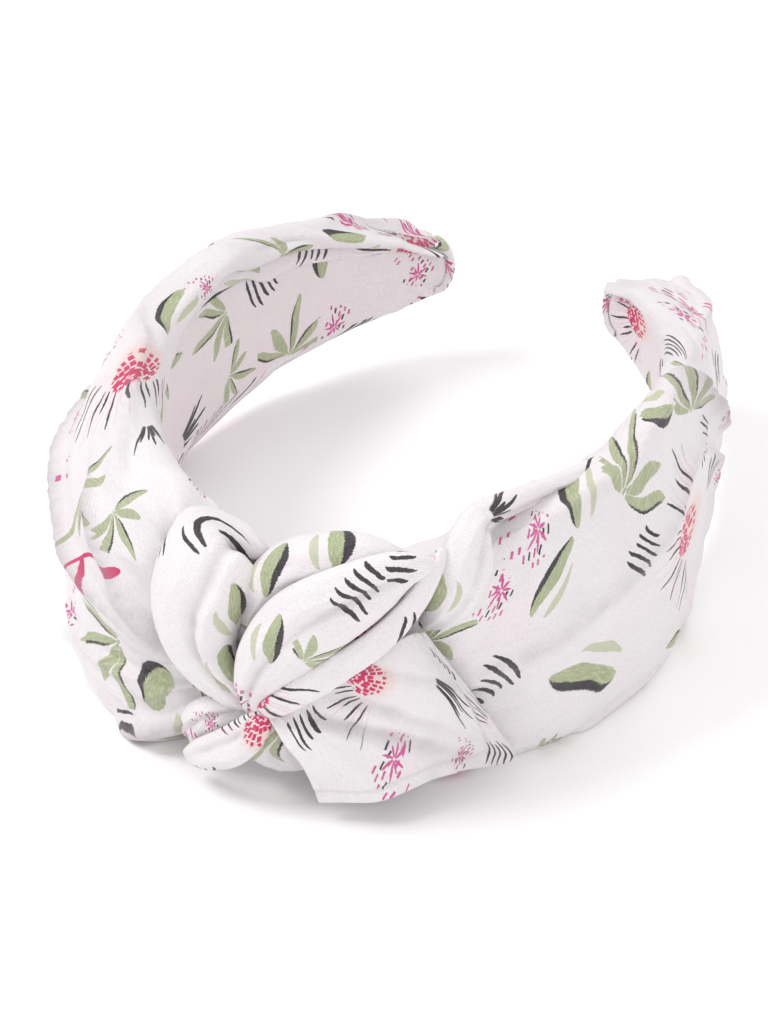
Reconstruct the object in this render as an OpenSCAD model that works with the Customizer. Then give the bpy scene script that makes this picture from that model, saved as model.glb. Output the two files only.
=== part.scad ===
// Knotted headband lying on its lower edge: +Y points from the knot to the tips, +Z is the band's width.
// A place on the band is [turn, out, up]: the angle turned from the crown's middle (negative on the left
// arm), the distance out from the lining's face and the height above the band's middle.

/* [Band curve] */
// Radius of the lining's face at the crown
crown_r = 50; // [45:1:55]
// Radius of the lining's face along the sides
side_r = 92; // [86:1:98]
// Radius of the lining's face at the tips
tip_r = 32; // [28:1:36]
// Turn at which the crown's arc becomes the side's arc
crown_turn = 48; // [44:1:52]
// Turn at which the side's arc becomes the tip's arc
side_turn = 136; // [132:1:140]
// Turn at which the band ends
tip_turn = 159; // [156:1:162]

/* [Band width] */
// Half the core's width from the crown to the sides
band_half = 18; // [15:0.5:20]
// Half the core's width at the tips
tip_half = 6.5; // [5:0.5:8]
// Half the height of the gathered cloth from the crown to the sides
wrap_half = 31; // [28:1:34]
// Half the height of the gathered cloth at the tips
wrap_tip_half = 10.5; // [9.5:0.5:12]

/* [Layers] */
// Thickness of the lining ribbon
lining_t = 0.8; // [0.6:0.1:1]
// Thickness of the springy plastic core
core_t = 1.8; // [1.4:0.1:2.2]
// Thickness of the tape that holds the foam
tape_t = 0.3; // [0.2:0.05:0.4]
// Thickness of the foam padding
foam_t = 3; // [2.5:0.1:3.5]
// Reach of the gathered cloth out from the lining's face, on the sides
puff = 19; // [16:1:22]
// The same under the knot
knot_puff = 9.5; // [9:0.1:10]
// The same at the tips
tip_puff = 9.5; // [9:0.1:11]

// Turn at which the gathers by the knot give way to smooth cloth
gather_turn = 36; // [32:1:40]

/* [Flex] */
// Turn at which each arm springs open
flex_turn = 72; // [68:1:76]
// Angle through which each arm opens
flex_range = 14; // [10:1:16]

/* [Hidden] */
// Face counts
FOLD_SIDES = 14;
SPAN_STEPS = 5;
TURN_STEP = 4;
WRAP_STEP = 6;
// Turn over which the taper's end is rounded
END_ROUND = 6;
// Turn over which the cloth's lean at a flex line fades out
LEAN_SPAN = 18;
// Clearances between neighbouring layers and between the two sides of a flex line
slack = 0.5;
film_gap = 0.1;
flex_gap = 0.6;
seam_gap = 0.5;
edge_gap = 1.5;
// Layer faces, out from the lining's face
core_in = lining_t + slack;
core_out = core_in + core_t;
core_mid = core_in + core_t / 2;
tape_in = core_out + film_gap;
tape_out = tape_in + tape_t;
foam_in = tape_out + film_gap;
foam_out = foam_in + foam_t;
wrap_in = foam_out + film_gap + 0.3;
// How far the cloth's edge and its roll reach inside the lining's face
lip_in = 1.5;
roll_in = 2.5;
// Tack stitches under the knot
STITCH_REACH = 12;
STITCH_STEP = 6;
thread_r = 0.3;
stitch_length = 8;
stitch_lift = 0.75;
// Where the taper of the cloth and of the core starts
wrap_taper_turn = 95;
core_taper_turn = 62;
// Spare angle that the cloth's ends leave beyond the flex
flex_spare = 2;
// Ends of the inner layers, before the tips
core_end = tip_turn - 4;
lining_end = tip_turn - 1;
// Height of the band's middle above the floor, and the middle of the whole headband along Y
mid_z = wrap_half;
mid_y = 64.9;

CLOTH = [0.94, 0.91, 0.92];
LINING = [0.88, 0.85, 0.88];
CORE = [0.96, 0.96, 0.94];
FOAM = [0.93, 0.92, 0.86];
TAPE = [0.85, 0.80, 0.62];
THREAD = [0.97, 0.96, 0.95];

function clamp01(v) = max(0, min(1, v));
function mix(a, b, f) = a + (b - a) * f;
function side_of(turn) = turn < 0 ? -1 : 1;

// The lining's face, as arcs of crown_r, side_r and tip_r that run into each other
function arc_x(a) =
    a <= crown_turn ? crown_r * sin(a)
    : a <= side_turn ? arc_x(crown_turn) + side_r * (sin(a) - sin(crown_turn))
    : arc_x(side_turn) + tip_r * (sin(a) - sin(side_turn));
function arc_y(a) =
    a <= crown_turn ? crown_r * (1 - cos(a))
    : a <= side_turn ? arc_y(crown_turn) + side_r * (cos(crown_turn) - cos(a))
    : arc_y(side_turn) + tip_r * (cos(side_turn) - cos(a));
function face_at(turn) = [side_of(turn) * arc_x(abs(turn)), arc_y(abs(turn)) - mid_y];
function outward(turn) = [sin(turn), -cos(turn)];
function flat_place(turn, out) = face_at(turn) + out * outward(turn);
function place(turn, out, up) = concat(flat_place(turn, out), [up + mid_z]);

function core_half(a) = mix(tip_half, band_half,
    sin(90 * clamp01((tip_turn - a) / (tip_turn - core_taper_turn))));
function cloth_half(a) = mix(wrap_tip_half, wrap_half,
    clamp01((tip_turn - a) / (tip_turn - wrap_taper_turn)));

// Strips: a flat curved wall cut to the band's taper

module wall(from, to, inner, outer) {
    count = ceil((to - from) / TURN_STEP);
    turns = [for (i = [0 : count]) mix(from, to, i / count)];
    near = [for (t = turns) flat_place(t, inner)];
    far = [for (i = [count : -1 : 0]) flat_place(turns[i], outer)];
    linear_extrude(2 * mid_z) polygon(concat(near, far));
}

// Side view of the taper, with a rounded end at the tips
module taper(grow, end) {
    turns = [for (a = [0 : TURN_STEP : end - END_ROUND]) a];
    last = core_half(end) + grow;
    rounded = [for (q = [0 : 15 : 90])
        [mix(arc_y(end - END_ROUND), arc_y(end), sin(q)) - mid_y, last * mix(0.45, 1, cos(q))]];
    top = concat([[-2 * mid_y, band_half + grow]],
        [for (a = turns) [arc_y(a) - mid_y, core_half(a) + grow]], rounded);
    bottom = [for (i = [len(top) - 1 : -1 : 0]) [top[i][0], -top[i][1]]];
    translate([0, 0, mid_z]) rotate([90, 0, 90])
        linear_extrude(4 * side_r, center = true) polygon(concat(top, bottom));
}

module strip(from, to, inner, outer, grow, end) {
    intersection() {
        wall(from, to, inner, outer);
        taper(grow, end);
    }
}

module crown_strip(inner, outer, grow) {
    reach = flex_turn - flex_gap;
    strip(-reach, reach, inner, outer, grow, lining_end);
}

module arm_strip(side, inner, outer, grow, end) {
    start = flex_turn + flex_gap;
    if (side > 0) strip(start, end, inner, outer, grow, end);
    else strip(-end, -start, inner, outer, grow, end);
}

// Closed skin over rings of equal length; cap holds the triangles that close its ends
module skin(rings, cap) {
    n = len(rings[0]);
    last = len(rings) - 1;
    points = [for (r = rings, p = r) p];
    sides = [for (i = [0 : last - 1], j = [0 : n - 1], upper = [0, 1])
        let (k = (j + 1) % n, a = i * n + j, c = (i + 1) * n + k)
        upper == 1 ? [a, c, (i + 1) * n + j] : [a, i * n + k, c]];
    start = [for (t = cap) [t[2], t[1], t[0]]];
    end = [for (t = cap) [for (k = t) last * n + k]];
    polyhedron(points, concat(start, sides, end), convexity = 6);
}

// Gathered cloth: a C-shaped section that rolls over both edges of the band

function puff_at(a, flat_to, full_from) =
    a < full_from ? mix(knot_puff, puff, clamp01((a - flat_to) / (full_from - flat_to)))
    : mix(tip_puff, puff, clamp01((tip_turn - a) / (tip_turn - wrap_taper_turn)));

function wrap_section(a, reach) =
    let (lip = core_half(a) + edge_gap, high = cloth_half(a), belly = min(reach, wrap_in + high))
    [[-lip_in, -lip], [wrap_in, -lip], [wrap_in, lip], [-lip_in, lip],
     [-roll_in, mix(lip, high, 0.45)], [-1, mix(lip, high, 0.85)], [2, high], [wrap_in, high],
     [mix(wrap_in, belly, 0.6), high * 0.84], [belly, high * 0.4], [belly, -high * 0.4],
     [mix(wrap_in, belly, 0.6), -high * 0.84], [wrap_in, -high], [2, -high],
     [-1, -mix(lip, high, 0.85)], [-roll_in, -mix(lip, high, 0.45)]];

// Triangles between the points of that section
WRAP_CAP = [[2, 3, 4], [2, 4, 5], [2, 5, 6], [2, 6, 7], [2, 7, 8], [2, 8, 9], [2, 9, 10],
    [1, 2, 10], [1, 10, 11], [1, 11, 12], [1, 12, 13], [1, 13, 14], [1, 14, 15], [0, 1, 15]];

// A ring of the cloth at one turn; skew leans its outer side away from a flex line
function wrap_ring(turn, skew, reach) =
    [for (p = wrap_section(abs(turn), reach))
        concat(flat_place(turn, core_mid) + (p[0] - core_mid) * outward(turn + skew), [p[1] + mid_z])];

module wrap(side, from, to, flat_to, full_from) {
    count = ceil((to - from) / WRAP_STEP);
    lean = (flex_range + flex_spare) / 2;
    turns = [for (i = [0 : count]) mix(from, to, i / count)];
    rings = [for (a = turns)
        let (skew = (a < flex_turn ? -1 : 1) * lean * clamp01(1 - abs(a - flex_turn) / LEAN_SPAN))
        wrap_ring(side * a, side * skew, puff_at(a, flat_to, full_from))];
    if (side < 0) skin(rings, WRAP_CAP);
    else skin([for (i = [count : -1 : 0]) rings[i]], WRAP_CAP);
}

// Folds of the knot: a flattened tube along a curve through hand-set places

function curve(p0, p1, p2, p3, f) =
    0.5 * (2 * p1 + (p2 - p0) * f + (2 * p0 - 5 * p1 + 4 * p2 - p3) * f * f
        + (3 * p1 - p0 - 3 * p2 + p3) * f * f * f);
function curve_through(keys) =
    let (last = len(keys) - 1)
    concat([for (i = [0 : last - 1], s = [0 : SPAN_STEPS - 1])
        curve(keys[max(0, i - 1)], keys[i], keys[i + 1], keys[min(last, i + 2)], s / SPAN_STEPS)],
        [keys[last]]);
function unit(v) = v / norm(v);

// Each key is [turn, out, up, half the width, half the thickness]
module fold(keys) {
    line = curve_through(keys);
    last = len(line) - 1;
    at = [for (k = line) place(k[0], k[1], k[2])];
    rings = [for (i = [0 : last])
        let (along = unit(at[min(last, i + 1)] - at[max(0, i - 1)]),
            across = unit(cross(along, concat(outward(line[i][0]), [0]))),
            thick = cross(across, along))
        [for (j = [0 : FOLD_SIDES - 1])
            let (q = 360 * j / FOLD_SIDES)
            at[i] + across * line[i][3] * cos(q) + thick * line[i][4] * sin(q)]];
    skin(rings, [for (j = [1 : FOLD_SIDES - 2]) [0, j, j + 1]]);
}

module tip_fold(side) {
    half = wrap_tip_half - 1;
    outline = [for (p = [[0.6, -1], [2.2, 0.5], [2.2, tip_puff - 2.5], [0.6, tip_puff - 1]])
        flat_place(side * (tip_turn + p[0]), p[1])];
    translate([0, 0, mid_z - half]) linear_extrude(2 * half) polygon(outline);
}

module core_crown() { color(CORE) crown_strip(core_in, core_out, 0); }
module core_left_arm() { color(CORE) arm_strip(-1, core_in, core_out, 0, core_end); }
module core_right_arm() { color(CORE) arm_strip(1, core_in, core_out, 0, core_end); }

module foam_tape_crown() { color(TAPE) crown_strip(tape_in, tape_out, -2); }
module foam_tape_left_arm() { color(TAPE) arm_strip(-1, tape_in, tape_out, -2, core_end); }
module foam_tape_right_arm() { color(TAPE) arm_strip(1, tape_in, tape_out, -2, core_end); }

module foam_crown() { color(FOAM) crown_strip(foam_in, foam_out, 0); }
module foam_left_arm() { color(FOAM) arm_strip(-1, foam_in, foam_out, 0, core_end); }
module foam_right_arm() { color(FOAM) arm_strip(1, foam_in, foam_out, 0, core_end); }

module lining_crown() { color(LINING) crown_strip(0, lining_t, 1); }
module lining_left_arm() { color(LINING) arm_strip(-1, 0, lining_t, 1, lining_end); }
module lining_right_arm() { color(LINING) arm_strip(1, 0, lining_t, 1, lining_end); }

module gather(side, flat_to, full_from) {
    color(CLOTH) wrap(side, seam_gap, gather_turn - seam_gap / 2, flat_to, full_from);
}
module crown_cloth(side, flat_to, full_from) {
    color(CLOTH) wrap(side, gather_turn + seam_gap / 2, flex_turn - flex_gap, flat_to, full_from);
}
module arm_cloth(side, flat_to, full_from) {
    color(CLOTH) wrap(side, flex_turn + flex_gap, tip_turn, flat_to, full_from);
}

module wrap_left_gather() { gather(-1, 24, 46); }
module wrap_left_crown() { crown_cloth(-1, 24, 46); }
module wrap_left_arm() { arm_cloth(-1, 24, 46); }
module wrap_right_gather() { gather(1, 26, 66); }
module wrap_right_crown() { crown_cloth(1, 26, 66); }
module wrap_right_arm() { arm_cloth(1, 26, 66); }

module tip_fold_left() { color(CLOTH) tip_fold(-1); }
module tip_fold_right() { color(CLOTH) tip_fold(1); }

module knot_core() {
    color(CLOTH) fold([[0, 15, -16, 1, 1], [1, 15, -12, 6, 4], [2, 15, -2, 7, 4], [3, 15, 5, 1, 1]]);
}

module knot_left_lobe() {
    color(CLOTH) fold([[-4, 18, -20, 1.5, 1.5], [-11, 20, -8, 5, 4], [-15, 21, 8, 8, 8],
        [-14, 20, 24, 8, 7], [-11, 17, 33, 3, 3]]);
}

module knot_back_lobe() {
    color(CLOTH) fold([[-2, 15, 20, 1.5, 1.5], [3, 16, 25, 5, 4.5], [14, 16, 30, 6, 5],
        [25, 15, 31, 4, 3.5], [29, 15, 31, 1, 1]]);
}

module knot_front_strap() {
    color(CLOTH) fold([[1, 25, -12, 1.5, 1.5], [6, 27, -2, 5, 3.5], [17, 27, 11, 7, 4],
        [30, 26, 20, 6, 3.5], [38, 25, 24, 1.5, 1.5]]);
}

module knot_under_strap() {
    color(CLOTH) fold([[11, 15, -9, 1.5, 1.5], [16, 14.5, 0, 5, 3.2], [24, 14.5, 9, 5, 3.2],
        [33, 15.5, 14, 1.2, 1.2]]);
}

module knot_right_lobe() {
    color(CLOTH) fold([[40, 19, 6, 2, 1.5], [43, 21, 16, 7, 3.6], [47, 22, 28, 8, 3.8],
        [49, 22, 36, 2, 1.5]]);
}

module tail_flap() {
    color(CLOTH) fold([[4, 22.5, -17, 2, 0.8], [14, 21.5, -17, 9, 1.3], [30, 21.5, -13.5, 16.5, 1.4],
        [44, 22.5, -12, 16.5, 1.2], [48, 23, -11, 9, 0.6]]);
}

module small_tail() {
    color(CLOTH) fold([[2, 24.5, -17.5, 2, 1.2], [-2, 25, -22, 6, 2], [-8, 24, -25.5, 4, 1.8],
        [-12, 23, -26, 1, 0.8]]);
}

module small_tail_back() {
    color(CLOTH) fold([[0, 17, -22, 2, 1.2], [-4, 17, -25, 4, 2.4], [-12, 16.5, -26, 3.5, 2.2],
        [-15, 16, -26, 1, 0.8]]);
}

module knot_stitches() {
    color(THREAD) for (up = [-STITCH_REACH : STITCH_STEP : STITCH_REACH])
        translate([0, flat_place(0, knot_puff + stitch_lift)[1], mid_z + up]) rotate([0, 90, 0])
            cylinder(r = thread_r, h = stitch_length, center = true, $fn = 24);
}

core_crown();
core_left_arm();
core_right_arm();
foam_tape_crown();
foam_tape_left_arm();
foam_tape_right_arm();
foam_crown();
foam_left_arm();
foam_right_arm();
lining_crown();
lining_left_arm();
lining_right_arm();
wrap_left_gather();
wrap_left_crown();
wrap_left_arm();
wrap_right_gather();
wrap_right_crown();
wrap_right_arm();
tip_fold_left();
tip_fold_right();
knot_core();
knot_left_lobe();
knot_back_lobe();
knot_front_strap();
knot_under_strap();
knot_right_lobe();
tail_flap();
small_tail();
small_tail_back();
knot_stitches();
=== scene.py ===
"""Looks of the knotted headband: gathered cloth, lining, padding, the knot's folds and the print."""
from math import cos, pi, radians, sin

import bpy
import numpy as np
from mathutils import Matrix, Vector


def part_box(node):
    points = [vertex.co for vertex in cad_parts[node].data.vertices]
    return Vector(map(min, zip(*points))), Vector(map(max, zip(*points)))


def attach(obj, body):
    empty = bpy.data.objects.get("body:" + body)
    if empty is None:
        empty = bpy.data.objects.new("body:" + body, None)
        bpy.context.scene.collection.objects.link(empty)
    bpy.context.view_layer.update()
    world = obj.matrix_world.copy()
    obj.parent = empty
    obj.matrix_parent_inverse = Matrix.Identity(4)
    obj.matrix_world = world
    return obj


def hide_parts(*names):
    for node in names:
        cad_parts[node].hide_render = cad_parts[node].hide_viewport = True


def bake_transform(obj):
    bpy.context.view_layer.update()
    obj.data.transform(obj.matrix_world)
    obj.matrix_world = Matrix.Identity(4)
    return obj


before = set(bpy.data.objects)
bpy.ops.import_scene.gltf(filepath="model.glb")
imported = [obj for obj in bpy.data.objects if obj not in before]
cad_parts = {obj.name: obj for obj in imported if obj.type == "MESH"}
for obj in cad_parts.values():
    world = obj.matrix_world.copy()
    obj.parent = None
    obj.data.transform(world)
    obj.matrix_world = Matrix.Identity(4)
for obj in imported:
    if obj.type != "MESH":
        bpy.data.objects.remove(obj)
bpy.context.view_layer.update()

MM = 0.001

# Band curve, as in the CAD model, and sizes of the cloth and padding, in millimetres and degrees
CROWN_R, SIDE_R, TIP_R = 50, 92, 32
CROWN_TURN, SIDE_TURN, TIP_TURN = 48, 136, 159
BAND_HALF, TIP_HALF, CORE_TAPER_TURN = 18, 6.5, 62
LINING_T, LINING_WIDTH, LINING_LENGTH, LINING_SHARE = 0.8, 38, 200, 0.85
SATIN_T, THIN_SATIN_T, INNER_WIDTH = 0.5, 0.4, 14
CORE_OUT, FOAM_IN, FOAM_OUT = 3.1, 3.6, 6.6

lining_low, lining_high = (np.array(c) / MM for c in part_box("lining_crown"))
CROWN_Y = lining_low[1] + LINING_T
MID_Z = (lining_low[2] + lining_high[2]) / 2


# Places on the band: turn from the crown's middle, out from the lining's face, up from the band's middle

def arc(turn):
    """The lining's face at each turn: x and y."""
    a = np.abs(turn)
    s, c = np.sin(np.radians(a)), np.cos(np.radians(a))
    s1, c1 = sin(radians(CROWN_TURN)), cos(radians(CROWN_TURN))
    s2, c2 = sin(radians(SIDE_TURN)), cos(radians(SIDE_TURN))
    x1, y1 = CROWN_R * s1, CROWN_R * (1 - c1)
    x2, y2 = x1 + SIDE_R * (s2 - s1), y1 + SIDE_R * (c1 - c2)
    x = np.where(a <= CROWN_TURN, CROWN_R * s,
                 np.where(a <= SIDE_TURN, x1 + SIDE_R * (s - s1), x2 + TIP_R * (s - s2)))
    y = np.where(a <= CROWN_TURN, CROWN_R * (1 - c),
                 np.where(a <= SIDE_TURN, y1 + SIDE_R * (c1 - c), y2 + TIP_R * (c2 - c)))
    return np.sign(turn) * x, y + CROWN_Y


def outward(turn):
    t = np.radians(turn)
    return np.stack([np.sin(t), -np.cos(t), np.zeros_like(t)], -1)


def place(turn, out, up):
    turn, out, up = np.broadcast_arrays(*(np.asarray(v, float) for v in (turn, out, up)))
    x, y = arc(turn)
    return np.stack([x, y, up + MID_Z], -1) + out[..., None] * outward(turn)


def core_half(turn):
    left = np.clip((TIP_TURN - np.abs(turn)) / (TIP_TURN - CORE_TAPER_TURN), 0, 1)
    return TIP_HALF + (BAND_HALF - TIP_HALF) * np.sin(left * pi / 2)


# Curves and grids

def between(p0, p1, p2, p3, f):
    return 0.5 * (2 * p1 + (p2 - p0) * f + (2 * p0 - 5 * p1 + 4 * p2 - p3) * f ** 2
                  + (3 * p1 - p0 - 3 * p2 + p3) * f ** 3)


def through(keys, count):
    """count points on a smooth curve through the keys, evenly spread over them along the first axis."""
    keys = np.asarray(keys, float)
    last = len(keys) - 1
    at = np.linspace(0, last, count)
    i = np.minimum(at.astype(int), last - 1)
    f = (at - i).reshape((-1,) + (1,) * (keys.ndim - 1))
    ends = np.concatenate([[2 * keys[0] - keys[1]], keys, [2 * keys[-1] - keys[-2]]])
    return between(ends[i], ends[i + 1], ends[i + 2], ends[i + 3], f)


def keyed(keys, at):
    """Smooth values at each place, from rows of (place, value, value, ...)."""
    keys = np.asarray(keys, float)
    fine = through(keys, 40 * len(keys))
    return [np.interp(at, fine[:, 0], fine[:, k]) for k in range(1, keys.shape[1])]


def even(points, count):
    """The same curve with points an equal length apart."""
    step = np.linalg.norm(np.diff(points, axis=0), axis=1)
    run = np.concatenate([[0], np.cumsum(step)])
    want = np.linspace(0, run[-1], count)
    return np.stack([np.interp(want, run, points[:, k]) for k in range(points.shape[1])], -1)


def runs(grid, axis):
    """Length run along one axis of a grid of points, from its first row."""
    step = np.linalg.norm(np.diff(grid, axis=axis), axis=-1)
    zero = np.zeros_like(np.take(step, [0], axis=axis))
    return np.concatenate([zero, np.cumsum(step, axis=axis)], axis=axis)


def normals(grid):
    a, b = np.gradient(grid, axis=0), np.gradient(grid, axis=1)
    n = np.cross(a, b)
    return n / np.maximum(np.linalg.norm(n, axis=-1, keepdims=True), 1e-9)


def soft_noise(x, y, seed, scale):
    """Smooth waves of about the given size, the same each run, from -1 to 1."""
    rng = np.random.default_rng(seed)
    total = np.zeros(np.broadcast(x, y).shape)
    for _ in range(7):
        angle, phase = rng.uniform(0, 2 * pi, 2)
        wave = rng.uniform(0.6, 1.6) * 2 * pi / scale
        total += np.sin(wave * (x * cos(angle) + y * sin(angle)) + phase)
    return total / 4


# The print's motifs: each kind's number and its reach in millimetres. A motif on a piece is (kind, x, y,
# angle, scale), with its middle in the millimetres of that piece's own cloth
FLOWER, SPRIG, LEAF, ROWS, MARKS, TWIG, GRASS = range(1, 8)
REACH = {FLOWER: 18, SPRIG: 12, LEAF: 13, ROWS: 8, MARKS: 8, TWIG: 10, GRASS: 13}
FILL = (MARKS, FLOWER, SPRIG, GRASS, LEAF, SPRIG, ROWS, MARKS, SPRIG, MARKS)
FILL_TRIES, CROWDING = 260, 0.86


# Where motifs lie on each piece; the rest are scattered in the room left. This table isn't chosen by hand:
# a scratch program worked most of it out from places in the photo.
PLACED = {
    "gathered_cloth_left": [
        (FLOWER, 84, 18, -15, 1), (SPRIG, 57, 39, 175, 0.9), (TWIG, 47, 49, -145, 0.95),
        (SPRIG, 46, 71, 30, 1.1), (LEAF, 27, 65, -115, 0.9), (SPRIG, 42, 37, 165, 0.7),
        (GRASS, 56, 18, 170, 0.6), (LEAF, 106, 8, 0, 0.85), (SPRIG, 150, 1, 5, 0.7),
        (LEAF, 172, 3, 5, 0.6), (MARKS, 117, 4, -55, 0.6)],
    "turned_in_layer_left": [
        (LEAF, 365, 304, -5, 0.8)],
    "gathered_cloth_right": [
        (FLOWER, 127, 54, -5, 1.05), (LEAF, 85, 68, 35, 1.2), (SPRIG, 102, 25, -45, 1.15),
        (LEAF, 82, 20, 95, 0.9), (LEAF, 74, 37, 130, 0.8), (MARKS, 67, 26, 20, 1),
        (MARKS, 57, 34, 30, 0.9), (ROWS, 58, 57, 50, 1.1), (SPRIG, 47, 38, 5, 0.8),
        (SPRIG, 132, 21, -75, 0.9), (LEAF, 115, 21, 15, 0.7), (ROWS, 140, 38, 60, 1),
        (ROWS, 147, 8, 120, 0.9), (SPRIG, 79, 88, -20, 0.6)],
    "knot_right_lobe_cloth": [
        (GRASS, 35, 7, 0, 0.7), (LEAF, 10, 12, 20, 0.6)],
    "knot_left_lobe_cloth": [
        (ROWS, 47, 17, -110, 0.7), (LEAF, 34, 2, -155, 0.75), (LEAF, 15, 3, -175, 0.7)],
    "knot_back_lobe_cloth": [
        (LEAF, 25, 22, -130, 0.6), (LEAF, 36, 23, -95, 0.6)],
    "knot_front_strap_cloth": [
        (ROWS, 50, 12, -70, 1), (ROWS, 60, 11, -50, 0.8), (SPRIG, 33, 5, -15, 0.75),
        (LEAF, 28, 15, -145, 0.6)],
    "tail_flap_cloth": [
        (FLOWER, 6, 27, 45, 0.75), (ROWS, 7, 8, 5, 0.8), (MARKS, 44, 36, 0, 0.65)],
    "small_tail_cloth": [
        (FLOWER, 3, 6, 55, 0.7)],
    "small_tail_back_cloth": [
        (MARKS, 13, 6, 165, 0.5)],
    "lining_left": [
        (SPRIG, 92, -8, 80, 1), (MARKS, 103, -10, -15, 0.9), (GRASS, 50, -14, 5, 0.8),
        (SPRIG, 72, -11, -15, 0.75), (MARKS, 127, 0, -30, 0.8)],
    "lining_right": [
        (FLOWER, 243, 3, 180, 0.7), (ROWS, 222, 0, 80, 0.8), (ROWS, 208, 3, 60, 0.8)]}


def scatter(cloth, motifs, seed):
    """All motifs on one piece, in its cloth's millimetres: those listed, then others in the room left."""
    spots = list(motifs)
    rng = np.random.default_rng(seed)
    low, high = cloth.reshape(-1, 2).min(0), cloth.reshape(-1, 2).max(0)
    for turn in range(FILL_TRIES):
        kind = FILL[turn % len(FILL)]
        x, y = rng.uniform(low, high)
        angle = rng.uniform(0, 360)
        if all(np.hypot(x - s[1], y - s[2]) > CROWDING * (REACH[kind] + s[4] * REACH[s[0]])
               for s in spots):
            spots.append((kind, x, y, angle, 1.0))
    return np.array(spots)


def motif_places(corners, spots):
    """For each face's corners: the nearest motif's kind and the place within that motif."""
    middle = corners.mean(axis=1)
    reach = np.array([REACH[int(k)] for k in spots[:, 0]]) * spots[:, 4]
    far = np.hypot(middle[:, None, 0] - spots[None, :, 1],
                   middle[:, None, 1] - spots[None, :, 2]) / reach
    chosen = spots[far.argmin(axis=1)]
    away = corners - chosen[:, None, 1:3]
    angle = np.radians(chosen[:, 3])[:, None]
    x = (away[..., 0] * np.cos(angle) + away[..., 1] * np.sin(angle)) / chosen[:, 4, None]
    y = (away[..., 1] * np.cos(angle) - away[..., 0] * np.sin(angle)) / chosen[:, 4, None]
    return np.stack([chosen[:, 0, None] + 0.5 + x * MM, y * MM], -1)


def mesh_object(name, grid, cloth, seed=0, wrap_round=False, caps=False, painted_shade=None):
    """A quad mesh over a grid of points in millimetres.

    Its UVs are the place on the cloth, the place in the nearest motif, and painted shade (the UV layer
    crease): how dark each point is painted for lying in a crease or under a fold, from 0 to 1.
    """
    rows, cols = grid.shape[:2]
    i, j = (k.ravel() for k in np.mgrid[0:rows - 1, 0:cols if wrap_round else cols - 1])
    right = (j + 1) % cols
    here, above = i * cols, (i + 1) * cols
    faces = np.stack([here + j, here + right, above + right, above + j], -1).tolist()
    corners = np.stack([cloth[i, j], cloth[i, j + 1], cloth[i + 1, j + 1], cloth[i + 1, j]], 1)
    spots = scatter(cloth, PLACED.get(name, []), seed)
    cloth_uv, motif_uv = [corners * MM], [motif_places(corners, spots)]
    painted_shade = np.zeros(rows * cols) if painted_shade is None else np.clip(painted_shade, 0, 1).ravel()
    # The painted shade goes in the UV layer named crease
    painted_shade_uv = [painted_shade[np.array(faces)][..., None] * np.ones(2)]
    if caps:
        for row, order in ((0, range(cols - 1, -1, -1)), (rows - 1, range(cols))):
            faces.append([row * cols + k for k in order])
            rim = cloth[row, list(order)][None]
            cloth_uv.append(rim * MM)
            motif_uv.append(motif_places(rim, spots))
            painted_shade_uv.append(np.zeros_like(rim))
    mesh = bpy.data.meshes.new(name)
    mesh.from_pydata((grid.reshape(-1, 3) * MM).tolist(), [], faces)
    for layer, parts in (("cloth", cloth_uv), ("motif", motif_uv), ("crease", painted_shade_uv)):
        values = np.concatenate([p.reshape(-1, 2) for p in parts])
        mesh.uv_layers.new(name=layer).data.foreach_set("uv", values.astype(np.float32).ravel())
    mesh.polygons.foreach_set("use_smooth", [True] * len(mesh.polygons))
    obj = bpy.data.objects.new(name, mesh)
    bpy.context.scene.collection.objects.link(obj)
    return obj


def smooth_cloth(obj, thick=0.0):
    """Rounds a cloth mesh once and gives it its thickness, in millimetres."""
    use(obj, "SUBSURF", levels=1, render_levels=1, uv_smooth="NONE")
    if thick:
        use(obj, "SOLIDIFY", thickness=thick * MM, offset=0)
    apply_modifiers(obj)


def use(obj, kind, **values):
    modifier = obj.modifiers.new(kind.title(), kind)
    for key, value in values.items():
        setattr(modifier, key, value)


def apply_modifiers(obj):
    bpy.context.view_layer.update()
    made = bpy.data.meshes.new_from_object(obj.evaluated_get(bpy.context.evaluated_depsgraph_get()))
    obj.modifiers.clear()
    obj.data = made


# Shader building

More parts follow.
